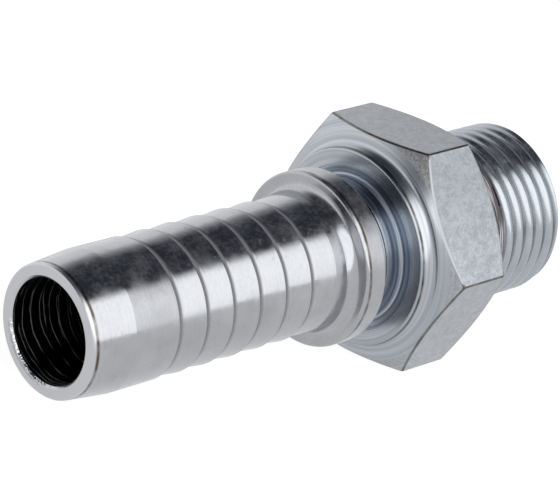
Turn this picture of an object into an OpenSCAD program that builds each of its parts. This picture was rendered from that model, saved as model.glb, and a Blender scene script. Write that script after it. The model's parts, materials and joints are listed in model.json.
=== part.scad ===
// Hydraulic hose fitting: one-piece turned steel insert with a barbed hose tail,
// a collar and groove for the crimped ferrule, a spanner hexagon and a male
// parallel pipe thread with a 60 degree cone seat.
// Every z below is measured along the insert's own axis from the tip of the tail.
// The whole part lies as it comes to rest: on the front edge of a hexagon flat
// and on the rim of the tail.

/* [Hose tail] */
// Outside diameter of the tail over its plain stretches and barb crests
tail_d = 16.7; // [15.5:0.1:18]
// Outside diameter of the tail at its tip
tip_d = 15.56; // [14.4:0.02:15.8]
// Rounding of the outer edge at the tip
tip_round = 0.4; // [0.1:0.05:0.8]
// Length of the tapered nose
nose_l = 5.8; // [3:0.1:7.5]
// Length of the plain stretch between the nose and the first barb crest
first_land_l = 6.3; // [3:0.1:10]
// Length of the plain stretch between the last barb and the collar
last_land_l = 2.9; // [2:0.1:8]

/* [Barbs] */
// Number of barb grooves
barb_count = 6; // [2:1:8]
// Distance from one barb crest to the next
barb_pitch = 4.1; // [3:0.1:6]
// Depth of each groove below the crests
barb_depth = 0.37; // [0.2:0.01:0.5]
// Radius of the rounded root behind each crest
barb_root_round = 0.75; // [0.6:0.05:1]
// Width of the flat on each crest
barb_crest_w = 0.08; // [0.04:0.02:0.2]
// Slope of the barb cones, in degrees
barb_slope = 5.6; // [4:0.1:6.5]

/* [Ferrule collar and groove] */
// Outside diameter of the collar
collar_d = 21.2; // [19.5:0.1:23]
// Width of the collar
collar_w = 3.05; // [2:0.05:5]
// Radius of the fillet between the tail and the collar
collar_fillet = 1.2; // [0.4:0.1:1.4]
// Rounding of the collar's front edge
collar_front_round = 0.4; // [0.1:0.05:0.6]
// Rounding of the collar's rear edge
collar_rear_round = 0.2; // [0.1:0.05:0.5]
// Diameter of the floor of the ferrule groove
groove_d = 17.4; // [16:0.1:18.6]
// Width of the ferrule groove
groove_w = 4.4; // [3:0.1:7]
// Radius in the corners of the ferrule groove
groove_round = 0.5; // [0.1:0.05:0.7]

/* [Shoulder] */
// Outside diameter of the shoulder that stops the ferrule
shoulder_d = 24.1; // [23:0.1:24.1]
// Length of the shoulder up to the hexagon
shoulder_l = 1.53; // [1.5:0.01:5]
// Rounding of the shoulder's front edge
shoulder_round = 0.25; // [0.1:0.05:0.3]
// Radius of the fillet between the shoulder and the hexagon
shoulder_fillet = 1.1; // [0.4:0.05:1.2]
// Diameter out to which the groove is cut into the shoulder's face
witness_d = 20.3; // [19.4:0.1:22]
// Depth of that cut
witness_depth = 0.15; // [0.05:0.05:0.3]

/* [Hexagon] */
// Width across the flats
hexagon_af = 28; // [27:0.5:32]
// Length of the hexagon
hexagon_l = 9.92; // [7:0.01:14]
// Diameter at which the chamfer starts on the front face
front_chamfer_d = 26.5; // [26.5:0.1:27.8]
// Diameter at which the chamfer starts on the rear face
rear_chamfer_d = 27.6; // [25:0.1:27.8]
// Slope of both chamfers, in degrees from the face
chamfer_angle = 30; // [15:1:35]

/* [Thread] */
// Major diameter of the thread
thread_d = 20.955; // [20:0.005:22]
// Pitch of the thread
thread_pitch = 1.814; // [1.5:0.001:2]
// Length of the threaded stud from the hexagon to its end
stud_l = 16; // [13:0.5:20]
// Length of the relief between the hexagon and the thread
relief_l = 3.6; // [2.5:0.1:5]
// Diameter of the relief
relief_d = 18.3; // [17.6:0.05:18.4]
// Diameter of the end face outside the chamfer on the thread
stud_end_d = 17.9; // [17.4:0.05:18]
// Half of the angle between the flanks, in degrees
flank_angle = 27.5; // [25:0.5:30]
// Radius of the rounded crests
crest_round = 0.7; // [0.2:0.05:0.75]
// Radius of the rounded roots
root_round = 0.15; // [0.1:0.05:0.25]
// Distance from the start of the thread to the first crest at the down-facing flat, less half a pitch
thread_start = 0.16; // [0:0.01:1.5]

/* [Bore and cone seat] */
// Diameter of the through bore
bore_d = 12.4; // [10:0.1:13]
// Chamfer of the bore at the tip of the tail
bore_chamfer = 0.25; // [0.1:0.05:0.6]
// Large diameter of the cone seat at the threaded end
seat_d = 16.6; // [15:0.1:17]
// Half of the angle of the cone seat, in degrees
seat_half_angle = 30; // [25:1:35]

/* [Hidden] */

$fn = 96;
// Length by which a cutting shape runs past what it cuts
past = 1;
// Length by which joined shapes run into each other
bite = 0.5;
steel = "#b4b8bd";

// Places along the axis
first_crest_z = nose_l + first_land_l;
barbs_end_z = first_crest_z + barb_count * barb_pitch;
collar_z = barbs_end_z + last_land_l;
groove_z = collar_z + collar_w;
shoulder_z = groove_z + groove_w;
hexagon_z = shoulder_z + shoulder_l;
hexagon_end_z = hexagon_z + hexagon_l;
thread_z = hexagon_end_z + relief_l;
stud_end_z = hexagon_end_z + stud_l;

// Radii
tip_r = tip_d / 2;
tail_r = tail_d / 2;
collar_r = collar_d / 2;
groove_r = groove_d / 2;
shoulder_r = shoulder_d / 2;
flat_r = hexagon_af / 2;
corner_r = flat_r / cos(30);
bore_r = bore_d / 2;
seat_r = seat_d / 2;
seat_depth = (seat_r - bore_r) / tan(seat_half_angle);

// Thread form: round crests and roots joined by straight flanks
thread_r = thread_d / 2;
stud_end_r = stud_end_d / 2;
rounds = crest_round + root_round;
flank_l = thread_pitch / 2 - rounds * cos(flank_angle);
thread_depth = rounds * (1 - sin(flank_angle)) + flank_l / tan(flank_angle);
root_r = thread_r - thread_depth;
widest_turn = 90 - flank_angle;
crest_steps = 3;
// One pitch from root to root, as [distance along the axis, height above the root]
thread_form = concat(
    [[0, 0], [root_round * sin(widest_turn), root_round * (1 - cos(widest_turn))]],
    [for (i = [-crest_steps : crest_steps])
        let (turn = widest_turn * i / crest_steps)
            [thread_pitch / 2 + crest_round * sin(turn), thread_depth - crest_round * (1 - cos(turn))]],
    [[thread_pitch - root_round * sin(widest_turn), root_round * (1 - cos(widest_turn))]]
);
form_rows = len(thread_form);
thread_columns = 48;
thread_rows = form_rows * (ceil((stud_end_z - thread_z) / thread_pitch) + 3);

// Centre of the tip's rounding, which touches the end face and the tapered nose
nose_slope = atan2(tail_r - tip_r, nose_l);
nose_centre_r = tip_r - tip_round * (1 - sin(nose_slope)) / cos(nose_slope);

// Rest position: the line that touches the tip's rounding and the hexagon's edge
rest_edge_z = hexagon_z + (flat_r - front_chamfer_d / 2) * tan(chamfer_angle);
rest_run = rest_edge_z - tip_round;
rest_rise = flat_r - nose_centre_r;
rest_tilt = atan2(rest_rise, rest_run) - asin(tip_round / norm([rest_run, rest_rise]));
// Sides of the box in the rest position: the tip's rounding, the outer corners of
// the threaded end, as [radius, z], and the hexagon's edge
stud_corners = [[stud_end_r, stud_end_z], [thread_r, stud_end_z - (thread_r - stud_end_r)]];
low_x = tip_round * cos(rest_tilt) - nose_centre_r * sin(rest_tilt) - tip_round;
high_x = max([for (c = stud_corners) c[1] * cos(rest_tilt) + c[0] * sin(rest_tilt)]);
low_z = rest_edge_z * sin(rest_tilt) - flat_r * cos(rest_tilt);

// A square corner with a quarter circle taken out, its corner at the origin,
// for cutting an outer edge round or filling an inner corner
module corner_round(radius) {
    difference() {
        square(radius);
        translate([radius, radius]) circle(radius);
    }
}

// Tapered nose, rounded where it meets the end face
module nose_profile() {
    polygon([
        [0, 0],
        [nose_centre_r, 0],
        [nose_centre_r + tip_round * cos(nose_slope), tip_round * (1 - sin(nose_slope))],
        [tail_r, nose_l],
        [0, nose_l]
    ]);
    translate([nose_centre_r, tip_round]) circle(tip_round);
}

// One barb: a round-bottomed groove behind a crest, then a cone up to the next crest
module barb_profile() {
    half_w = sqrt(pow(barb_root_round, 2) - pow(barb_root_round - barb_depth, 2));
    centre_z = barb_crest_w + half_w;
    difference() {
        union() {
            square([tail_r, centre_z]);
            polygon([
                [0, 0],
                [tail_r - barb_pitch * tan(barb_slope), 0],
                [tail_r, barb_pitch],
                [0, barb_pitch]
            ]);
        }
        translate([tail_r - barb_depth + barb_root_round, centre_z]) circle(barb_root_round);
    }
}

module tail_profile() {
    nose_profile();
    translate([0, nose_l]) square([tail_r, first_land_l]);
    for (i = [0 : barb_count - 1])
        translate([0, first_crest_z + i * barb_pitch]) barb_profile();
    translate([0, barbs_end_z]) square([tail_r, last_land_l + bite]);
}

module collar_profile() {
    difference() {
        translate([0, collar_z]) square([collar_r, collar_w]);
        translate([collar_r, collar_z]) mirror([1, 0]) corner_round(collar_front_round);
        translate([collar_r, groove_z]) mirror([1, 0]) mirror([0, 1]) corner_round(collar_rear_round);
    }
    translate([tail_r, collar_z]) mirror([0, 1]) corner_round(collar_fillet);
    translate([0, groove_z - bite]) square([groove_r, groove_w + 2 * bite]);
    translate([groove_r, groove_z]) corner_round(groove_round);
}

module shoulder_profile() {
    witness_r = witness_d / 2;
    difference() {
        translate([0, shoulder_z]) square([shoulder_r, shoulder_l + bite]);
        translate([0, shoulder_z - past]) square([witness_r, past + witness_depth]);
        translate([shoulder_r, shoulder_z]) mirror([1, 0]) corner_round(shoulder_round);
    }
    translate([0, shoulder_z]) square([groove_r, witness_depth + bite]);
    translate([groove_r, shoulder_z + witness_depth]) mirror([0, 1]) corner_round(groove_round);
    translate([shoulder_r, hexagon_z]) mirror([0, 1]) corner_round(shoulder_fillet);
}

module turned_front() {
    rotate_extrude() {
        tail_profile();
        collar_profile();
        shoulder_profile();
    }
}

// Double cone that chamfers the hexagon's corners on both faces
module chamfer_cones() {
    front_r = front_chamfer_d / 2;
    rear_r = rear_chamfer_d / 2;
    reach = corner_r + past;
    rotate_extrude()
        polygon([
            [0, hexagon_z],
            [front_r, hexagon_z],
            [reach, hexagon_z + (reach - front_r) * tan(chamfer_angle)],
            [reach, hexagon_end_z - (reach - rear_r) * tan(chamfer_angle)],
            [rear_r, hexagon_end_z],
            [0, hexagon_end_z]
        ]);
}

// Drawn from its corners, so that its flats are exactly square to the x axis and its turns
module hexagon() {
    intersection() {
        translate([0, 0, hexagon_z])
            linear_extrude(hexagon_l)
            polygon([for (turn = [30 : 60 : 330]) corner_r * [cos(turn), sin(turn)]]);
        chamfer_cones();
    }
}

// Height of thread line k at column i, before it is held between the thread's two ends
function line_z(i, k) =
    thread_z + thread_start + thread_pitch * (floor(k / form_rows) - 2 + i / thread_columns)
        + thread_form[k % form_rows][0];

// Radius of thread line k at height z, under the lead-in and the end chamfer
function line_r(k, z) = min(
    root_r + thread_form[k % form_rows][1],
    root_r + z - thread_z,
    stud_end_r + stud_end_z - z
);

// Number of the point at column i on thread line k: a line past an end shares that end's point
function point_of(i, k) =
    i == thread_columns ? point_of(0, k + form_rows)
    : line_z(i, k) <= thread_z ? i
    : line_z(i, k) >= stud_end_z ? thread_columns + i
    : 2 * thread_columns + i * thread_rows + k;

function polar(i, radius, z) =
    [radius * cos(360 * i / thread_columns), radius * sin(360 * i / thread_columns), z];

// Right-hand thread whose edges follow the helix, closed by a flat face at each end
module thread() {
    columns = [0 : thread_columns - 1];
    points = concat(
        [for (i = columns) polar(i, root_r, thread_z)],
        [for (i = columns) polar(i, stud_end_r, stud_end_z)],
        [for (i = columns, k = [0 : thread_rows - 1])
            let (z = min(max(line_z(i, k), thread_z), stud_end_z)) polar(i, line_r(k, z), z)]
    );
    cells = [for (i = columns, k = [0 : thread_rows - 1])
        [point_of(i, k), point_of(i + 1, k), point_of(i + 1, k + 1), point_of(i, k + 1)]];
    faces = concat(
        [[for (i = columns) i]],
        [[for (i = columns) 2 * thread_columns - 1 - i]],
        [for (c = cells) if (c[0] != c[1] && c[1] != c[2] && c[0] != c[2]) [c[0], c[2], c[1]]],
        [for (c = cells) if (c[0] != c[2] && c[2] != c[3] && c[0] != c[3]) [c[0], c[3], c[2]]]
    );
    polyhedron(points, faces);
}

module stud() {
    translate([0, 0, hexagon_end_z - bite]) cylinder(d = relief_d, h = relief_l + 2 * bite);
    thread();
}

// Through bore with its chamfer at the tip and the cone seat at the threaded end
module bore() {
    translate([0, 0, -past]) cylinder(r = bore_r, h = stud_end_z + 2 * past);
    rotate_extrude() polygon([
        [0, -past],
        [bore_r + bore_chamfer + past, -past],
        [bore_r, bore_chamfer],
        [0, bore_chamfer]
    ]);
    rotate_extrude() polygon([
        [0, stud_end_z - seat_depth],
        [bore_r, stud_end_z - seat_depth],
        [seat_r + past * tan(seat_half_angle), stud_end_z + past],
        [0, stud_end_z + past]
    ]);
}

module hose_insert() {
    color(steel)
        translate([-(low_x + high_x) / 2, 0, -low_z])
        rotate([0, 90 - rest_tilt, 0])
        difference() {
            union() {
                turned_front();
                hexagon();
                stud();
            }
            bore();
        }
}

hose_insert();
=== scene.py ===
"""Looks of the hydraulic hose fitting: a turned, zinc-plated steel insert on a white floor."""
import json
import math

import bpy
import numpy as np
from mathutils import Matrix, Vector


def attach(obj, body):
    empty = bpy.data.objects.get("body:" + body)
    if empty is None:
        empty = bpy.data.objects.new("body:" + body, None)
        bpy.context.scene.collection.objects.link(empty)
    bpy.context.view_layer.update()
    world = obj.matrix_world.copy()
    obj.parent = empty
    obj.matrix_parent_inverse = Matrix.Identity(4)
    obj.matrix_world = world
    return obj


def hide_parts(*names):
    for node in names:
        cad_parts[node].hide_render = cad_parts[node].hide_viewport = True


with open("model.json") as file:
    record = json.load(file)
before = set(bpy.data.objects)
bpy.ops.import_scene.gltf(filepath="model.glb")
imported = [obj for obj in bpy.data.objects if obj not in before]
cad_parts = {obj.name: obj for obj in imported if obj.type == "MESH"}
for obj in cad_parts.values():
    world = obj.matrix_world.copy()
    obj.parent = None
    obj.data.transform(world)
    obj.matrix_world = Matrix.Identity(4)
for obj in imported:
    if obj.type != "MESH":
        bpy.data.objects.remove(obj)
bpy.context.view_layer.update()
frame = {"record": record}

scene = bpy.context.scene

# Metres in a millimetre
MM = 0.001

# Hose tail: radii, lengths and roundings in millimetres, heights from the tip along the axis
TAIL_R = 8.35
TIP_R = 7.78
TIP_ROUND = 0.4
NOSE_LENGTH = 5.8
FIRST_LAND_LENGTH = 6.3
LAST_LAND_LENGTH = 2.9
BARB_COUNT = 6
BARB_PITCH = 4.1
BARB_DEPTH = 0.37
BARB_ROOT_ROUND = 0.75
BARB_CREST_WIDTH = 0.08
BARB_SLOPE = math.radians(5.6)

# Ferrule collar, groove and shoulder
COLLAR_R = 10.6
COLLAR_WIDTH = 3.05
COLLAR_FILLET = 1.2
COLLAR_FRONT_ROUND = 0.4
COLLAR_REAR_ROUND = 0.2
GROOVE_R = 8.7
GROOVE_WIDTH = 4.4
GROOVE_ROUND = 0.5
WITNESS_R = 10.15
WITNESS_DEPTH = 0.15
SHOULDER_R = 12.05
SHOULDER_LENGTH = 1.53
SHOULDER_ROUND = 0.25
SHOULDER_FILLET = 1.1

# Hexagon
FLAT_R = 14.0
HEXAGON_LENGTH = 9.92
FRONT_CHAMFER_R = 13.25
REAR_CHAMFER_R = 13.8
CHAMFER_ANGLE = math.radians(30)
CHAMFER_SLOPE = math.tan(CHAMFER_ANGLE)
CORNER_ROUND = 0.3
EDGE_BREAK = 0.2

# Thread, with wide rounded crests and narrow roots between 55 degree flanks
THREAD_R = 10.4775
THREAD_PITCH = 1.814
CREST_ROUND = 0.7
ROOT_ROUND = 0.15
FLANK_ANGLE = math.radians(27.5)
FORM_SPAN = (CREST_ROUND + ROOT_ROUND) * math.cos(FLANK_ANGLE)
THREAD_DEPTH = (CREST_ROUND + ROOT_ROUND) * (1 - math.sin(FLANK_ANGLE)) + (
    (THREAD_PITCH / 2 - FORM_SPAN) / math.tan(FLANK_ANGLE))
THREAD_START = 0.16
STUD_LENGTH = 16.0
RELIEF_LENGTH = 3.6
RELIEF_R = 9.15
RELIEF_ROUND = 0.3
RUN_IN = 1.5
STUD_END_R = 8.95

# Bore and cone seat
BORE_R = 6.2
BORE_CHAMFER = 0.25
SEAT_R = 8.3
SEAT_SLOPE = math.tan(math.radians(30))

# Rounding of the bore's edge at the tip, and of the other sharp edges
RIM_ROUND = 0.04
FINE_ROUND = 0.05

# Heights along the axis
FIRST_CREST_Z = NOSE_LENGTH + FIRST_LAND_LENGTH
BARBS_END_Z = FIRST_CREST_Z + BARB_COUNT * BARB_PITCH
COLLAR_Z = BARBS_END_Z + LAST_LAND_LENGTH
GROOVE_Z = COLLAR_Z + COLLAR_WIDTH
SHOULDER_Z = GROOVE_Z + GROOVE_WIDTH
HEXAGON_Z = SHOULDER_Z + SHOULDER_LENGTH
HEXAGON_END_Z = HEXAGON_Z + HEXAGON_LENGTH
THREAD_Z = HEXAGON_END_Z + RELIEF_LENGTH
STUD_END_Z = HEXAGON_END_Z + STUD_LENGTH
SEAT_Z = STUD_END_Z - (SEAT_R - BORE_R) / SEAT_SLOPE
ROOT_R = THREAD_R - THREAD_DEPTH

# Fineness of the mesh on arcs, on the hexagon's flats and on the thread's rounds
ARC_STEP = math.radians(15)
FLAT_COLUMNS = 36
FORM_STEPS = 4

# How near to its ends a straight stretch gets a ring of its own, and from which length on
GUARD = 0.05
GUARDED_LENGTH = 8 * GUARD

# Columns on each rounded corner of the hexagon, as shares of half the corner
CORNER_SHARES = (-1, -0.5, 0, 0.5)
SIDE_COLUMNS = len(CORNER_SHARES) + FLAT_COLUMNS

# Numbers of the material slots on the insert
TAIL, RIM, GROOVE, FACE, FLAT, EDGE, THREAD, RELIEF, BORE, SEAT = range(10)


def srgb(red, green, blue):
    """A colour as it is seen, 0 to 255, as Blender's linear values."""
    def linear(value):
        share = value / 255
        return share / 12.92 if share < 0.04045 else ((share + 0.055) / 1.055) ** 2.4
    return (linear(red), linear(green), linear(blue), 1)


# Shape of the insert

def rounded(corners):
    """Points (z, r) along corners (z, r, rounding), with an arc at each rounded corner."""
    points = []
    for i, (z, r, rounding) in enumerate(corners):
        here = np.array((z, r))
        if rounding == 0:
            points.append(here)
            continue
        before = np.array(corners[i - 1][:2]) - here
        after = np.array(corners[i + 1][:2]) - here
        before /= np.linalg.norm(before)
        after /= np.linalg.norm(after)
        half = math.acos(np.clip(before @ after, -1, 1)) / 2
        middle = (before + after) / np.linalg.norm(before + after)
        centre = here + middle * rounding / math.sin(half)
        start = here + before * rounding / math.tan(half) - centre
        end = here + after * rounding / math.tan(half) - centre
        sweep = math.pi - 2 * half
        steps = max(2, math.ceil(sweep / ARC_STEP))
        for step in range(steps + 1):
            turned = sweep * step / steps
            arm = (math.sin(sweep - turned) * start + math.sin(turned) * end) / math.sin(sweep)
            points.append(centre + arm)
    return points


def barb(crest_z):
    """Points of one barb from its crest: flat, round root and the start of the cone behind it."""
    half_width = math.sqrt(BARB_ROOT_ROUND ** 2 - (BARB_ROOT_ROUND - BARB_DEPTH) ** 2)
    centre_r = TAIL_R - BARB_DEPTH + BARB_ROOT_ROUND
    centre = np.array((crest_z + BARB_CREST_WIDTH + half_width, centre_r))
    along = np.array((math.cos(BARB_SLOPE), math.sin(BARB_SLOPE)))
    outward = np.array((-along[1], along[0]))
    clearance = (centre - np.array((crest_z + BARB_PITCH, TAIL_R))) @ outward
    reach = math.sqrt(BARB_ROOT_ROUND ** 2 - clearance ** 2)
    last = along * reach - outward * clearance
    start = math.atan2(BARB_DEPTH - BARB_ROOT_ROUND, -half_width)
    end = math.atan2(last[1], last[0])
    steps = math.ceil((end - start) / ARC_STEP)
    turns = [start + (end - start) * step / steps for step in range(steps + 1)]
    arms = [np.array((math.cos(turn), math.sin(turn))) for turn in turns]
    return [np.array((crest_z, TAIL_R))] + [centre + BARB_ROOT_ROUND * arm for arm in arms]


def front_profile():
    """Bands (points, slot) of the turned surface from the bore's chamfer to the front chamfer."""
    witness_z = SHOULDER_Z + WITNESS_DEPTH
    rim = rounded([
        (BORE_CHAMFER, BORE_R, 0),
        (0, BORE_R + BORE_CHAMFER, RIM_ROUND),
        (0, TIP_R, TIP_ROUND),
        (NOSE_LENGTH, TAIL_R, 0),
    ])[:-1]
    tail = [np.array((NOSE_LENGTH, TAIL_R))]
    for i in range(BARB_COUNT):
        tail += barb(FIRST_CREST_Z + i * BARB_PITCH)
    collar = rounded([
        (BARBS_END_Z, TAIL_R, 0),
        (COLLAR_Z, TAIL_R, COLLAR_FILLET),
        (COLLAR_Z, COLLAR_R, COLLAR_FRONT_ROUND),
        (GROOVE_Z, COLLAR_R, COLLAR_REAR_ROUND),
        (GROOVE_Z, GROOVE_R, 0),
    ])[:-1]
    groove = rounded([
        (GROOVE_Z, COLLAR_R, 0),
        (GROOVE_Z, GROOVE_R, GROOVE_ROUND),
        (witness_z, GROOVE_R, GROOVE_ROUND),
        (witness_z, WITNESS_R, FINE_ROUND),
        (SHOULDER_Z, WITNESS_R, FINE_ROUND),
        (SHOULDER_Z, SHOULDER_R, 0),
    ])[1:-1]
    shoulder = rounded([
        (SHOULDER_Z, WITNESS_R, 0),
        (SHOULDER_Z, SHOULDER_R, SHOULDER_ROUND),
        (HEXAGON_Z, SHOULDER_R, SHOULDER_FILLET),
        (HEXAGON_Z, FLAT_R, 0),
    ])[1:-1] + [np.array((HEXAGON_Z, FRONT_CHAMFER_R))]
    return [(rim, RIM), (tail, TAIL), (collar, TAIL), (groove, GROOVE), (shoulder, FACE)]


def guarded(rings):
    """The rings (z, r, slot) with one more near both ends of each straight stretch, so that the
    stretch keeps its own slope when it is shaded."""
    result = [rings[0]]
    for (z0, r0, _), (z1, r1, slot) in zip(rings, rings[1:]):
        length = math.hypot(z1 - z0, r1 - r0)
        if length > GUARDED_LENGTH:
            for share in (GUARD / length, 1 - GUARD / length):
                result.append((z0 + (z1 - z0) * share, r0 + (r1 - r0) * share, slot))
        result.append((z1, r1, slot))
    return result


CORNER_CENTRE_R = (FLAT_R - CORNER_ROUND) / math.cos(math.radians(30))
CORNER_HALF_TURN = math.atan2(
    CORNER_ROUND * math.sin(math.radians(30)),
    CORNER_CENTRE_R + CORNER_ROUND * math.cos(math.radians(30)),
)


def column_angles():
    """Angles of the mesh's columns: close together on each rounded corner, even on the flats."""
    angles = []
    for k in range(6):
        corner = math.radians(30 + 60 * k)
        angles += [corner + CORNER_HALF_TURN * share for share in CORNER_SHARES]
        start = corner + CORNER_HALF_TURN
        span = math.radians(60) - 2 * CORNER_HALF_TURN
        angles += [start + span * i / FLAT_COLUMNS for i in range(FLAT_COLUMNS)]
    return np.array(angles)


def hexagon_radius(angles):
    """Radius of the hexagon at each angle, with rounded corners; the first flat faces angle 0."""
    turn = np.radians(np.abs((np.degrees(angles) % 60) - 30))
    flat = FLAT_R / np.cos(math.radians(30) - turn)
    inside = np.clip(CORNER_ROUND ** 2 - (CORNER_CENTRE_R * np.sin(turn)) ** 2, 0, None)
    corner = CORNER_CENTRE_R * np.cos(turn) + np.sqrt(inside)
    return np.where(turn < CORNER_HALF_TURN, corner, flat)


def thread_form():
    """One pitch from the middle of a root to the next: way along the axis, height over the root."""
    widest = math.pi / 2 - FLANK_ANGLE
    turns = [widest * step / FORM_STEPS for step in range(FORM_STEPS + 1)]
    root = [(ROOT_ROUND * math.sin(t), ROOT_ROUND * (1 - math.cos(t))) for t in turns]
    turns = [-t for t in turns[:0:-1]] + turns
    crest = [(
        THREAD_PITCH / 2 + CREST_ROUND * math.sin(t),
        THREAD_DEPTH - CREST_ROUND * (1 - math.cos(t)),
    ) for t in turns]
    mirrored = [(THREAD_PITCH - z, height) for z, height in root[:0:-1]]
    return np.array(root + crest + mirrored)


class Skin:
    """Points and faces of one closed surface, made of rings with a point at each column angle."""

    def __init__(self, angles):
        self.angles = angles
        self.points = []
        self.faces = []
        self.slots = []

    def add_points(self, angles, z, r):
        """Adds one point for each angle and returns their numbers."""
        first = sum(len(p) for p in self.points)
        z, r = np.broadcast_to(z, angles.shape), np.broadcast_to(r, angles.shape)
        self.points.append(np.stack([r * np.cos(angles), r * np.sin(angles), z], axis=1))
        return np.arange(first, first + len(angles))

    def ring(self, z, r):
        """Adds a ring, whose height and radius may change with the angle, and returns its points."""
        return self.add_points(self.angles, z, r)

    def band(self, lower, upper, slot):
        """Faces between two rings of points; the flats' band has the edges' slot at its corners."""
        quads = np.stack([lower, np.roll(lower, -1), np.roll(upper, -1), upper], axis=1)
        self.faces += quads.tolist()
        slots = np.full(len(quads), slot)
        if slot == FLAT:
            slots[np.arange(len(quads)) % SIDE_COLUMNS < len(CORNER_SHARES)] = EDGE
        self.slots += slots.tolist()

    def thread(self, lower, upper, slot):
        """A right-hand thread whose rows of points follow the helix from one ring to the other.
        It rises out of the relief, whose slot its torn start has, and ends in a chamfer."""
        form = thread_form()
        rows = len(form)
        # More pitches at both ends, so that each column starts before the thread and ends past it
        pitches = math.ceil((STUD_END_Z - THREAD_Z) / THREAD_PITCH) + 3
        grid = np.empty((len(self.angles) + 1, pitches * rows), int)
        torn = np.empty(grid.shape, bool)
        for k in range(pitches * rows):
            z = THREAD_Z + THREAD_START + form[k % rows][0] + (
                THREAD_PITCH * (k // rows - 2 + self.angles / math.tau))
            lead_in = ROOT_R + z - THREAD_Z
            end_chamfer = STUD_END_R + STUD_END_Z - z
            r = np.minimum(np.minimum(ROOT_R + form[k % rows][1], lead_in), end_chamfer)
            inside = (z > THREAD_Z) & (z < STUD_END_Z)
            numbers = np.where(z <= THREAD_Z, lower, upper)
            numbers[inside] = self.add_points(self.angles[inside], z[inside], r[inside])
            grid[:-1, k] = numbers
            torn[:-1, k] = z < THREAD_Z + RUN_IN
        grid[-1, :-rows] = grid[0, rows:]
        grid[-1, -rows:] = upper[0]
        for i in range(len(self.angles)):
            for k in range(pitches * rows - 1):
                corners = (grid[i, k], grid[i + 1, k], grid[i + 1, k + 1], grid[i, k + 1])
                face = list(dict.fromkeys(int(corner) for corner in corners))
                if len(face) > 2:
                    self.faces.append(face)
                    self.slots.append(RELIEF if torn[i, k] else slot)


def build_skin():
    """The closed surface: front, hexagon, relief, thread, cone seat, and the bore back to the tip."""
    angles = column_angles()
    skin = Skin(angles)
    hexagon_r = hexagon_radius(angles)
    front_z = HEXAGON_Z + (hexagon_r - FRONT_CHAMFER_R) * CHAMFER_SLOPE
    rear_z = HEXAGON_END_Z - (hexagon_r - REAR_CHAMFER_R) * CHAMFER_SLOPE
    in_r = EDGE_BREAK * math.cos(CHAMFER_ANGLE)
    in_z = EDGE_BREAK * math.sin(CHAMFER_ANGLE)
    rings = []
    for points, slot in front_profile():
        rings += [(z, r, slot) for z, r in points]
    rings = guarded(rings)
    # Each broken edge has a ring on the chamfer, one just inside the old corner and one on the flat
    rings += [
        (front_z - in_z, hexagon_r - in_r, FACE),
        (front_z + in_z / 2, hexagon_r - in_r / 4, EDGE),
        (front_z + EDGE_BREAK, hexagon_r, EDGE),
        (rear_z - EDGE_BREAK, hexagon_r, FLAT),
        (rear_z - in_z / 2, hexagon_r - in_r / 4, EDGE),
        (rear_z + in_z, hexagon_r - in_r, EDGE),
    ]
    relief = rounded([
        (HEXAGON_END_Z, REAR_CHAMFER_R, 0),
        (HEXAGON_END_Z, RELIEF_R, RELIEF_ROUND),
        (THREAD_Z, RELIEF_R, 0),
        (THREAD_Z, ROOT_R, 0),
    ])[1:]
    rear = [(HEXAGON_END_Z, REAR_CHAMFER_R, FACE), (*relief[0], FACE)]
    rings += guarded(rear + [(z, r, RELIEF) for z, r in relief[1:]])
    seat = rounded([
        (STUD_END_Z, STUD_END_R, 0),
        (STUD_END_Z, SEAT_R, FINE_ROUND),
        (SEAT_Z, BORE_R, FINE_ROUND),
        (BORE_CHAMFER, BORE_R, 0),
    ])
    seat = guarded([(z, r, SEAT) for z, r in seat[:-1]] + [(BORE_CHAMFER, BORE_R, BORE)])
    numbers = [skin.ring(z, r) for z, r, slot in rings]
    for i in range(1, len(rings)):
        skin.band(numbers[i - 1], numbers[i], rings[i][2])
    end_numbers = [skin.ring(z, r) for z, r, slot in seat[:-1]]
    skin.thread(numbers[-1], end_numbers[0], THREAD)
    for i in range(1, len(end_numbers)):
        skin.band(end_numbers[i - 1], end_numbers[i], seat[i][2])
    skin.band(end_numbers[-1], numbers[0], BORE)
    return skin


def smooth_normals(points, faces):
    """A normal for each point, weighted by the areas of its faces, so that narrow rounded edges
    take the slope of the wide faces beside them."""
    corners = [np.array([face[i % len(face)] for face in faces]) for i in range(4)]
    first, second, third, fourth = corners
    triangle = np.array([len(face) == 3 for face in faces])
    fourth[triangle] = first[triangle]
    across = np.cross(points[third] - points[first], points[fourth] - points[second])
    normals = np.zeros_like(points)
    for corner in (first, second, third):
        np.add.at(normals, corner, across)
    np.add.at(normals, fourth[~triangle], across[~triangle])
    return normals / np.linalg.norm(normals, axis=1)[:, None]


def axis_placement():
    """The insert's own frame: its origin at the tip, z along its axis, x out of the lowest flat."""
    mounts = {mount["name"]: mount for mount in frame["record"]["mounts"]}
    axis = Vector(mounts["cone_seat"]["axis"]).normalized()
    tip = Vector(mounts["cone_seat"]["pos_m"]) - axis * STUD_END_Z * MM
    down = Vector((axis.z, 0, -axis.x))
    side = axis.cross(down)
    return Matrix.Translation(tip) @ Matrix((down, side, axis)).transposed().to_4x4()


def make_insert(placement, materials):
    """The insert's mesh in its place, with the materials in the order of the slots' numbers."""
    skin = build_skin()
    turn = np.array(placement.to_3x3())
    points = np.concatenate(skin.points) * MM @ turn.T + np.array(placement.translation)
    mesh = bpy.data.meshes.new("hose_insert_steel")
    mesh.from_pydata(points.tolist(), [], skin.faces)
    for material in materials:
        mesh.materials.append(material)
    mesh.polygons.foreach_set("material_index", skin.slots)
    mesh.polygons.foreach_set("use_smooth", [True] * len(skin.faces))
    mesh.normals_split_custom_set_from_vertices(smooth_normals(points, skin.faces).tolist())
    mesh.update()
    piece = bpy.data.objects.new("hose_insert_steel", mesh)
    scene.collection.objects.link(piece)
    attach(piece, "root")
    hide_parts("hose_insert")


PLACEMENT = axis_placement()


# Materials

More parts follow.
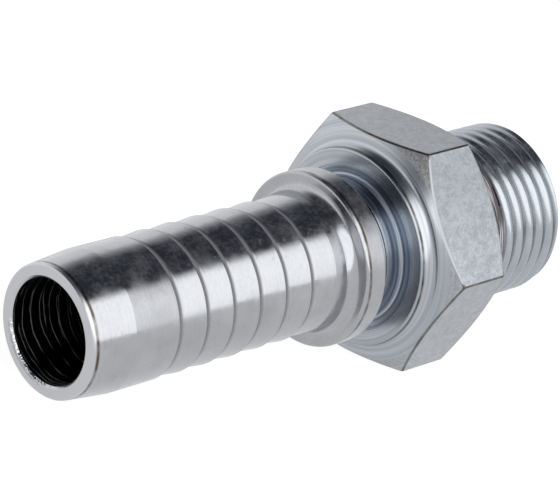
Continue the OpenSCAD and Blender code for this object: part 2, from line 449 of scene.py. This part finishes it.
class Nodes:
    """A node tree, and short ways to add nodes to it."""

    def __init__(self, tree):
        self.nodes = tree.nodes
        self.links = tree.links

    def node(self, kind, inputs=None, **settings):
        """Adds a node whose inputs are values or other nodes' outputs."""
        node = self.nodes.new(kind)
        for name, value in settings.items():
            setattr(node, name, value)
        for name, value in (inputs or {}).items():
            self.put(node.inputs[name], value)
        return node

    def put(self, socket, value):
        if isinstance(value, bpy.types.NodeSocket):
            self.links.new(value, socket)
        else:
            socket.default_value = value

    def math(self, operation, first, second=0.0):
        return self.node("ShaderNodeMath", {0: first, 1: second}, operation=operation).outputs[0]

    def product(self, first, *others):
        """All the values multiplied."""
        for other in others:
            first = self.math("MULTIPLY", first, other)
        return first

    def distance(self, value, middle):
        """How far a value is from the middle, on either side."""
        return self.math("ABSOLUTE", self.math("SUBTRACT", value, middle))

    def stretch(self, value, low, high, new_low=0.0, new_high=1.0):
        """Values from low to high stretched to a new range and held at its ends."""
        return self.node("ShaderNodeMapRange", {
            "Value": value, "From Min": low, "From Max": high, "To Min": new_low, "To Max": new_high,
        }).outputs[0]

    def mix(self, share, first, second):
        """Two colours mixed by a share of the second."""
        inputs = {"Fac": share, "Color1": first, "Color2": second}
        return self.node("ShaderNodeMixRGB", inputs).outputs[0]


class Shader(Nodes):
    """A material with one Principled shader, patterned in the insert's own frame."""

    def __init__(self, name, colour, roughness, metallic=1.0):
        self.material = bpy.data.materials.new(name)
        self.material.use_nodes = True
        super().__init__(self.material.node_tree)
        self.surface = self.nodes["Principled BSDF"]
        self.set("Base Color", colour)
        self.set("Roughness", roughness)
        self.set("Metallic", metallic)
        place = self.node("ShaderNodeTexCoord").outputs["Object"]
        self.position = self.node("ShaderNodeMapping", {
            "Vector": place, "Location": PLACEMENT.translation, "Rotation": PLACEMENT.to_euler(),
        }, vector_type="TEXTURE").outputs[0]

    def set(self, name, value):
        """Sets an input of the Principled shader."""
        self.put(self.surface.inputs[name], value)

    def noise(self, vector, scale=1.0, detail=3.0, roughness=0.5):
        inputs = {"Vector": vector, "Scale": scale, "Detail": detail, "Roughness": roughness}
        return self.node("ShaderNodeTexNoise", inputs).outputs["Fac"]

    def past(self, value, span):
        """0 below a span of millimetres, rising to 1 at its end."""
        return self.stretch(value, span[0] * MM, span[1] * MM)

    def before(self, value, span, rest=0.0):
        """1 below a span of millimetres, falling to the rest at its end."""
        return self.stretch(value, span[0] * MM, span[1] * MM, 1.0, rest)

    def near(self, value, middle, reach):
        """1 where a value is close to the middle, falling to 0 at the reach on either side, all in
        millimetres."""
        return self.before(self.distance(value, middle * MM), (0.3 * reach, reach))

    def bump(self, height, distance, normal=None):
        """The normal over bumps whose full height is a distance in millimetres, which may be laid
        over another normal."""
        inputs = {"Height": height, "Distance": distance * MM, "Strength": 1.0}
        node = self.node("ShaderNodeBump", inputs)
        if normal is not None:
            self.put(node.inputs["Normal"], normal)
        return node.outputs["Normal"]

    def radius(self):
        """Distance from the axis."""
        inputs = {0: self.position, 1: (1, 1, 0)}
        across = self.node("ShaderNodeVectorMath", inputs, operation="MULTIPLY").outputs[0]
        return self.node("ShaderNodeVectorMath", {0: across}, operation="LENGTH").outputs["Value"]

    def split(self):
        """The position's parts: X and Y across the axis, Z along it."""
        return self.node("ShaderNodeSeparateXYZ", {0: self.position}).outputs

    def height(self):
        """Distance from the tip, along the axis."""
        return self.split()["Z"]

    def turn(self):
        """Angle round the axis, 0 in the middle of the lowest flat."""
        split = self.split()
        return self.math("ARCTAN2", split["Y"], split["X"])


ZINC = srgb(167, 168, 172)
ZINC_PALE = srgb(184, 186, 189)
ZINC_BRIGHT = srgb(198, 200, 203)
# Painted highlight on the side flat's broken edge
PAINTED_HIGHLIGHT_EDGE = srgb(160, 162, 166)
# Brown of the painted reflection lines behind the front edges
PAINTED_REFLECTION_BROWN = srgb(86, 76, 66)
# Painted shade on the other broken edges and in a line beside them
PAINTED_SHADE_EDGE = srgb(102, 99, 96)
# Darker root colour: painted shade in the roots of the barbs and the thread
PAINTED_ROOT_SHADE = srgb(116, 117, 121)

# Painted reflection lines behind the edges of the tip, the collar and the shoulder: heights and reach
PAINTED_REFLECTION_HEIGHTS = (0.62, COLLAR_Z + 0.52, SHOULDER_Z + 0.39)
PAINTED_REFLECTION_REACH = 0.28

# Matt root behind each barb's crest, also painted darker as shade: distance of its middle from the
# crest, and reach
BARB_ROOT = 0.5
BARB_ROOT_REACH = 0.55

# Matt roots of the thread, also painted darker as shade: the span over which they begin, in pitches
# from a crest
THREAD_ROOTS = (0.34, 0.47)

# Nicks on the bore's edge: span of radius over which they end, and turn of their middle
NICKED_R = (6.4, 6.75)
NICKED_TURN = math.radians(40)

# Groove: span of height over which its streaks end, and middle and reach of its dull rear fillet
STREAKS_END = (44.8, 45.3)
DULL_FILLET_Z = 46.9
DULL_FILLET_REACH = 0.4

# Speckled corners of the hexagon: spans of radius, height and place over which they begin and end
SPECKLED_R = (14.5, 15.0)
SPECKLED_END = (52.0, 53.0)
SPECKLED_X = (-8.0, -3.0)
SPECKLED_Y = (-6.0, 0.0)

# Turn of the side flat, with a painted highlight on its front edge and no painted shade line beside
# it
SIDE_FLAT_TURN = math.radians(-120)

# Width of the painted shade line on the other flats, and the span over which painted light changes
# downwards
SHADE_LINE_WIDTH = 0.12
PAINTED_LIGHT_X = (-11.0, -2.0)


def around(shader, per_mm, slow=70.0):
    """Noise that changes fast along the profile and slowly round the axis."""
    along = shader.math("ADD", shader.height(), shader.radius())
    split = shader.split()
    vector = shader.node("ShaderNodeCombineXYZ", {
        "X": shader.product(split["X"], slow),
        "Y": shader.product(split["Y"], slow),
        "Z": shader.product(along, per_mm / MM),
    }).outputs[0]
    return shader.noise(vector, 1.0, 2.0)


def with_painted_reflection(shader, colour):
    """The colour with a broken brown line of painted reflection behind each front edge."""
    patches = shader.stretch(shader.noise(shader.position, 500.0, 2.0), 0.35, 0.6, 0.45, 1.0)
    height = shader.height()
    lines = [shader.near(height, middle, PAINTED_REFLECTION_REACH) for middle in PAINTED_REFLECTION_HEIGHTS]
    line = shader.math("MAXIMUM", shader.math("MAXIMUM", lines[0], lines[1]), lines[2])
    return shader.mix(shader.product(line, patches), colour, PAINTED_REFLECTION_BROWN)


def barb_roots(shader):
    """1 in the matt root behind each barb's crest, which is also painted darker as shade, 0
    elsewhere.
    """
    along = shader.math("SUBTRACT", shader.height(), FIRST_CREST_Z * MM)
    barbs = shader.math("DIVIDE", along, BARB_PITCH * MM)
    behind = shader.product(shader.math("FRACT", barbs), BARB_PITCH * MM)
    past_first = shader.stretch(barbs, 0.0, 0.001)
    before_last = shader.stretch(barbs, BARB_COUNT - 0.001, BARB_COUNT, 1.0, 0.0)
    return shader.product(past_first, before_last, shader.near(behind, BARB_ROOT, BARB_ROOT_REACH))


def thread_roots(shader):
    """0.7 in the matt roots of the thread, which follow its helix and are also painted darker as
    shade, falling to 0 on the crests.
    """
    turn = shader.math("DIVIDE", shader.turn(), math.tau)
    along = shader.math("SUBTRACT", shader.height(), (THREAD_Z + THREAD_START) * MM)
    pitches = shader.math("DIVIDE", along, THREAD_PITCH * MM)
    share = shader.math("FRACT", shader.math("SUBTRACT", pitches, turn))
    return shader.stretch(shader.distance(share, 0.5), *THREAD_ROOTS, 0.0, 0.7)


def turned_steel(name, colour, pale, roughness, line_depth, matt_and_shaded_places=None):
    """Zinc plate over a turned surface: fine lines round the axis, faint clouds and a fine grain.
    Its matt places, such as the roots of barbs, are also darker: painted shade."""
    shader = Shader(name, colour, roughness)
    lines = around(shader, 9.0)
    clouds = shader.noise(shader.position, 420.0, 4.0)
    share = shader.stretch(shader.math("ADD", shader.product(lines, 0.5), clouds), 0.45, 1.05)
    plate = shader.mix(share, colour, pale)
    specks = shader.stretch(shader.noise(shader.position, 900.0, 4.0), 0.48, 0.75, 0.0, 0.34)
    sheen = shader.stretch(clouds, 0.35, 0.65, roughness * 0.8, roughness * 1.6)
    sheen = shader.math("MAXIMUM", sheen, specks)
    grain = shader.noise(shader.position, 2200.0, 1.0)
    metal = shader.stretch(shader.math("ADD", grain, clouds), 0.8, 1.35, 1.0, 0.88)
    if matt_and_shaded_places:
        root = matt_and_shaded_places(shader)
        sheen = shader.math("MAXIMUM", sheen, shader.product(root, 0.5))
        metal = shader.math("MINIMUM", metal, shader.stretch(root, 0.0, 1.0, 1.0, 0.5))
        # Painted shade: the roots' colour is darkened towards the darker root colour
        plate = shader.mix(shader.product(root, 0.7), plate, PAINTED_ROOT_SHADE)
    # Brown lines of painted reflection behind the front edges
    shader.set("Base Color", with_painted_reflection(shader, plate))
    shader.set("Metallic", metal)
    shader.set("Roughness", sheen)
    uneven = shader.bump(clouds, 0.02)
    shader.set("Normal", shader.bump(lines, line_depth, normal=uneven))
    return shader.material


def rim_face(name):
    """Satin face of the tip, with bright nicks where the bore's edge was broken."""
    shader = Shader(name, ZINC_BRIGHT, 0.3)
    nicks = shader.noise(shader.position, 1900.0, 2.0)
    away = shader.distance(shader.turn(), NICKED_TURN)
    nicked = shader.stretch(away, math.radians(25), math.radians(60), 1.0, 0.1)
    at_bore = shader.product(shader.before(shader.radius(), NICKED_R), nicked)
    # Brown line of painted reflection behind the tip's edge
    shader.set("Base Color", with_painted_reflection(shader, ZINC_BRIGHT))
    shader.set("Roughness", shader.stretch(at_bore, 0.0, 1.0, 0.3, 0.15))
    shader.set("Normal", shader.bump(shader.product(nicks, at_bore), 0.3))
    return shader.material


def off_side_flat(shader, end=31):
    """0 on the side flat, 1 on the others, which start at the end's degrees from its middle."""
    away = shader.distance(shader.turn(), SIDE_FLAT_TURN)
    return shader.stretch(away, math.radians(28), math.radians(end))


def edge_shade_line(shader):
    """1 beside the front edges of the flats, where a line of painted shade goes, falling to 0 away
    from them, and 0 by the side flat.
    """
    out = shader.math("SUBTRACT", shader.radius(), FRONT_CHAMFER_R * MM)
    edge = shader.math("ADD", shader.product(out, CHAMFER_SLOPE), HEXAGON_Z * MM)
    behind = shader.math("SUBTRACT", shader.height(), edge)
    line = shader.before(behind, (EDGE_BREAK, EDGE_BREAK + SHADE_LINE_WIDTH))
    patches = shader.stretch(shader.noise(shader.position, 600.0, 2.0), 0.3, 0.6, 0.6, 1.0)
    return shader.product(line, off_side_flat(shader), patches)


def hexagon_face(name):
    """Turned cone in front of the hexagon: blue and grey rings, and brown, speckled corners."""
    shader = Shader(name, ZINC, 0.26)
    rings = around(shader, 1.6, 25.0)
    lines = around(shader, 7.0)
    share = shader.stretch(shader.math("ADD", rings, shader.product(lines, 0.4)), 0.5, 0.9)
    plate = shader.mix(share, srgb(156, 163, 171), srgb(192, 195, 199))
    speckle = shader.noise(shader.position, 3400.0, 3.0, 0.7)
    corner = shader.mix(shader.stretch(speckle, 0.36, 0.64), srgb(130, 128, 127), srgb(194, 194, 196))
    out = shader.math("ADD", shader.radius(), shader.product(speckle, 0.9 * MM))
    split = shader.split()
    at_corner = shader.product(
        shader.before(split["Z"], SPECKLED_END),
        shader.before(split["Y"], SPECKLED_Y),
        shader.before(split["X"], SPECKLED_X, 0.4),
        shader.past(out, SPECKLED_R),
    )
    # Brown line of painted reflection behind the shoulder's edge
    shader.set("Base Color", with_painted_reflection(shader, shader.mix(at_corner, plate, corner)))
    shader.set("Roughness", shader.stretch(at_corner, 0.0, 1.0, 0.26, 0.42))
    shader.set("Normal", shader.bump(shader.math("ADD", rings, lines), 0.0008))
    return shader.material


def groove_steel(name):
    """Groove for the ferrule: blue passivation, pale on the wall, and streaks down to its floor."""
    shader = Shader(name, ZINC, 0.18)
    lines = around(shader, 3.2, 25.0)
    share = shader.stretch(lines, 0.4, 0.6)
    fine_share = shader.stretch(around(shader, 5.0, 30.0), 0.38, 0.54)
    streaks = shader.mix(fine_share, srgb(60, 63, 70), srgb(236, 238, 241))
    floor = shader.mix(share, srgb(126, 135, 147), srgb(168, 175, 186))
    wall = shader.mix(share, srgb(178, 200, 213), srgb(200, 220, 231))
    plain = shader.mix(shader.past(shader.height(), STREAKS_END), streaks, floor)
    on_wall = shader.past(shader.radius(), (WITNESS_R - 0.1, WITNESS_R))
    shader.set("Base Color", shader.mix(on_wall, plain, wall))
    at_fillet = shader.near(shader.height(), DULL_FILLET_Z, DULL_FILLET_REACH)
    shader.set("Roughness", shader.stretch(at_fillet, 0.0, 1.0, 0.18, 0.5))
    shader.set("Normal", shader.bump(lines, 0.006))
    return shader.material


def plated_flat(name):
    """Zinc plate over drawn bar: matt, with a fine speckle of crystals. Painted light and shade: the
    side flat gets paler downwards, the others darker."""
    shader = Shader(name, ZINC, 0.34, 0.85)
    speckle = shader.noise(shader.position, 3600.0, 2.0, 0.6)
    blotch = shader.noise(shader.position, 1100.0, 3.0, 0.55)
    share = shader.stretch(shader.math("ADD", speckle, blotch), 0.8, 1.2)
    # Painted light and shade: each flat's colour is set by its turn, paler or darker downwards
    low = shader.past(shader.split()["X"], PAINTED_LIGHT_X)
    side_dark = shader.mix(low, srgb(151, 155, 161), srgb(160, 164, 170))
    side_pale = shader.mix(low, srgb(171, 176, 182), srgb(188, 193, 199))
    dark = shader.mix(low, srgb(171, 175, 180), srgb(164, 168, 173))
    pale = shader.mix(low, srgb(192, 196, 201), srgb(185, 189, 194))
    side_plate = shader.mix(share, side_dark, side_pale)
    plate = shader.mix(off_side_flat(shader), side_plate, shader.mix(share, dark, pale))
    # Painted shade: a dark line beside the front edges of all flats but the side flat
    shader.set("Base Color", shader.mix(edge_shade_line(shader), plate, PAINTED_SHADE_EDGE))
    shader.set("Normal", shader.bump(speckle, 0.01))
    return shader.material


def flat_edge(name):
    """Broken edges of the hexagon: painted dark as shade, and painted bright as a highlight along the
    side flat.
    """
    shader = Shader(name, PAINTED_SHADE_EDGE, 0.3)
    patches = shader.stretch(shader.noise(shader.position, 600.0, 2.0), 0.3, 0.6, 0.5, 1.0)
    # Painted shade everywhere but along the side flat, where the painted highlight stays
    dark = shader.product(off_side_flat(shader, 29), patches)
    shader.set("Base Color", shader.mix(dark, PAINTED_HIGHLIGHT_EDGE, PAINTED_SHADE_EDGE))
    return shader.material


def relief_steel(name):
    """The undercut behind the hexagon: torn, streaky and a little pink."""
    shader = Shader(name, ZINC, 0.3)
    streaks = around(shader, 4.0, 160.0)
    share = shader.stretch(streaks, 0.4, 0.6)
    shader.set("Base Color", shader.mix(share, srgb(78, 74, 77), srgb(214, 209, 212)))
    shader.set("Normal", shader.bump(streaks, 0.02))
    return shader.material


def drilled_bore(name):
    """The bare drilled wall, painted nearly black as the shade deep in the bore, with the pale edges
    of the drill's spiral marks.
    """
    shader = Shader(name, srgb(30, 30, 32), 0.4)
    turn = shader.math("DIVIDE", shader.turn(), math.tau)
    marks = []
    for pitch, wander, narrow in ((1.9, 0.5, 0.1), (1.3, 0.9, 0.12)):
        rise = shader.math("DIVIDE", shader.height(), pitch * MM)
        wobble = shader.product(shader.noise(shader.position, 140.0 * pitch, 3.0), wander)
        saw = shader.math("FRACT", shader.math("ADD", shader.math("ADD", rise, turn), wobble))
        patches = shader.stretch(shader.noise(shader.position, 190.0 * pitch, 1.0), 0.38, 0.62)
        marks.append(shader.product(shader.stretch(saw, 0.0, narrow, 1.0, 0.0), patches))
    mark = shader.math("MAXIMUM", marks[0], marks[1])
    # Painted shade: the wall between the marks is nearly black
    shader.set("Base Color", shader.mix(mark, srgb(26, 26, 30), srgb(176, 176, 180)))
    shader.set("Metallic", shader.math("SUBTRACT", 1.0, mark))
    return shader.material


materials = [
    turned_steel("tail_zinc", ZINC, ZINC_PALE, 0.16, 0.0006, barb_roots),
    rim_face("rim_zinc"),
    groove_steel("groove_zinc"),
    hexagon_face("face_zinc"),
    plated_flat("flat_zinc"),
    flat_edge("edge_zinc"),
    turned_steel("thread_zinc", srgb(166, 171, 177), srgb(186, 191, 196), 0.2, 0.0006, thread_roots),
    relief_steel("relief_zinc"),
    drilled_bore("bore_steel"),
    turned_steel("seat_zinc", ZINC, ZINC_PALE, 0.2, 0.001),
]
make_insert(PLACEMENT, materials)


# Studio: a white floor, a bright panel in front, a dark ceiling, and white behind

# Reach of the floor in metres, its glow to the camera, the share of it in the steel, and its paint
FLOOR_REACH = 1.5
FLOOR_GLOW = (0.88, 0.88, 0.88, 1)
FLOOR_MIRRORED = 0.8
FLOOR_PAINT = (0.3, 0.3, 0.3, 1)


def make_floor():
    """A floor that the camera sees as plain white and that is less bright to the steel."""
    mesh = bpy.data.meshes.new("floor")
    corners = [(x * FLOOR_REACH, y * FLOOR_REACH, 0) for x, y in ((-1, -1), (1, -1), (1, 1), (-1, 1))]
    mesh.from_pydata(corners, [], [(0, 1, 2, 3)])
    floor = bpy.data.objects.new("floor", mesh)
    scene.collection.objects.link(floor)
    material = bpy.data.materials.new("floor_white")
    material.use_nodes = True
    tree = Nodes(material.node_tree)
    tree.nodes.clear()
    paths = tree.node("ShaderNodeLightPath").outputs
    mirrored = tree.product(paths["Is Glossy Ray"], FLOOR_MIRRORED)
    seen = tree.math("MAXIMUM", paths["Is Camera Ray"], mirrored)
    glow = tree.node("ShaderNodeEmission", {"Color": FLOOR_GLOW, "Strength": seen}).outputs[0]
    matt = tree.node("ShaderNodeBsdfDiffuse", {"Color": FLOOR_PAINT}).outputs[0]
    both = tree.node("ShaderNodeAddShader", {0: glow, 1: matt}).outputs[0]
    tree.node("ShaderNodeOutputMaterial", {"Surface": both})
    mesh.materials.append(material)


# Brightness at angles in degrees round the x axis: 0 at the front horizon, 90 overhead
STUDIO = (
    (-180, 1.0), (-1, 1.0), (-0.5, 2.0), (54, 2.0), (64, 0.05), (120, 0.05), (132, 0.4),
    (142, 1.05), (179, 1.1),
)
WEAK_PANEL = (
    (-180, 1.0), (-1, 1.0), (-0.5, 1.4), (36, 1.4), (66, 0.05), (120, 0.05), (132, 0.4),
    (142, 1.05), (179, 1.1),
)
FAR_END = (
    (-180, 0.5), (-1, 0.5), (-0.5, 0.8), (54, 0.8), (64, 0.32), (130, 0.32), (140, 0.5), (179, 0.5),
)

# Spans of the direction's x part over which the weaker panel and then the dim far end take over
WEAK_PANEL_X = (0.5, 0.6)
FAR_END_X = (0.64, 0.72)


def tinted(level):
    """A brightness of the surroundings, a touch blue where it is dark."""
    return (level - 0.005, level, level + 0.012, 1)


def make_world():
    """The surroundings in the steel. The camera itself sees plain white."""
    world = bpy.data.worlds.new("studio")
    scene.world = world
    world.use_nodes = True
    tree = Nodes(world.node_tree)
    tree.nodes.clear()
    direction = tree.node("ShaderNodeTexCoord").outputs["Generated"]
    split = tree.node("ShaderNodeSeparateXYZ", {0: direction}).outputs
    angle = tree.math("ARCTAN2", split["Z"], tree.product(split["Y"], -1.0))
    share = tree.math("ADD", tree.math("DIVIDE", angle, math.tau), 0.5)

    def levels_round(levels):
        """The brightness at the angle, from a table of angles and levels."""
        ramp = tree.node("ShaderNodeValToRGB", {0: share})
        stops = ramp.color_ramp.elements
        while len(stops) > 1:
            stops.remove(stops[-1])
        stops[0].position = 0.0
        stops[0].color = tinted(levels[0][1])
        for degrees, level in levels[1:]:
            stops.new(degrees / 360 + 0.5).color = tinted(level)
        return ramp.outputs["Color"]

    def blend(first, second, span):
        """The first brightness where x is below the span, the second where it is past it."""
        return tree.mix(tree.stretch(split["X"], *span), first, second)

    level = blend(levels_round(STUDIO), levels_round(WEAK_PANEL), WEAK_PANEL_X)
    level = blend(level, levels_round(FAR_END), FAR_END_X)
    around_steel = tree.node("ShaderNodeBackground", {"Color": level}).outputs[0]
    plain_white = tree.node("ShaderNodeBackground", {"Color": (1, 1, 1, 1)}).outputs[0]
    to_camera = tree.node("ShaderNodeLightPath").outputs["Is Camera Ray"]
    seen = tree.node("ShaderNodeMixShader", {0: to_camera, 1: around_steel, 2: plain_white})
    tree.node("ShaderNodeOutputWorld", {"Surface": seen.outputs[0]})


# Camera: where it looks, from which side, how far it leans, lens and sensor width in millimetres

CAMERA_TARGET = Vector((-1.146, 0.887, 13.655)) * MM
CAMERA_DISTANCE = 391.03 * MM
CAMERA_HEADING = math.radians(41.988)
CAMERA_DOWN = math.radians(17.026)
CAMERA_LEAN = math.radians(11.317)
CAMERA_LENS = 214.6
CAMERA_SENSOR = 36.0


def make_camera():
    camera = bpy.data.cameras.new("camera")
    camera.lens = CAMERA_LENS
    camera.sensor_width = CAMERA_SENSOR
    piece = bpy.data.objects.new("camera", camera)
    scene.collection.objects.link(piece)
    forward = Vector((
        math.cos(CAMERA_HEADING) * math.cos(CAMERA_DOWN),
        math.sin(CAMERA_HEADING) * math.cos(CAMERA_DOWN),
        -math.sin(CAMERA_DOWN),
    ))
    level_right = forward.cross(Vector((0, 0, 1))).normalized()
    level_up = level_right.cross(forward)
    up = level_up * math.cos(CAMERA_LEAN) - level_right * math.sin(CAMERA_LEAN)
    right = forward.cross(up)
    place = Matrix((right, up, -forward)).transposed().to_4x4()
    piece.matrix_world = Matrix.Translation(CAMERA_TARGET - forward * CAMERA_DISTANCE) @ place
    scene.camera = piece


make_floor()
make_world()
make_camera()
scene.view_settings.view_transform = "Standard"
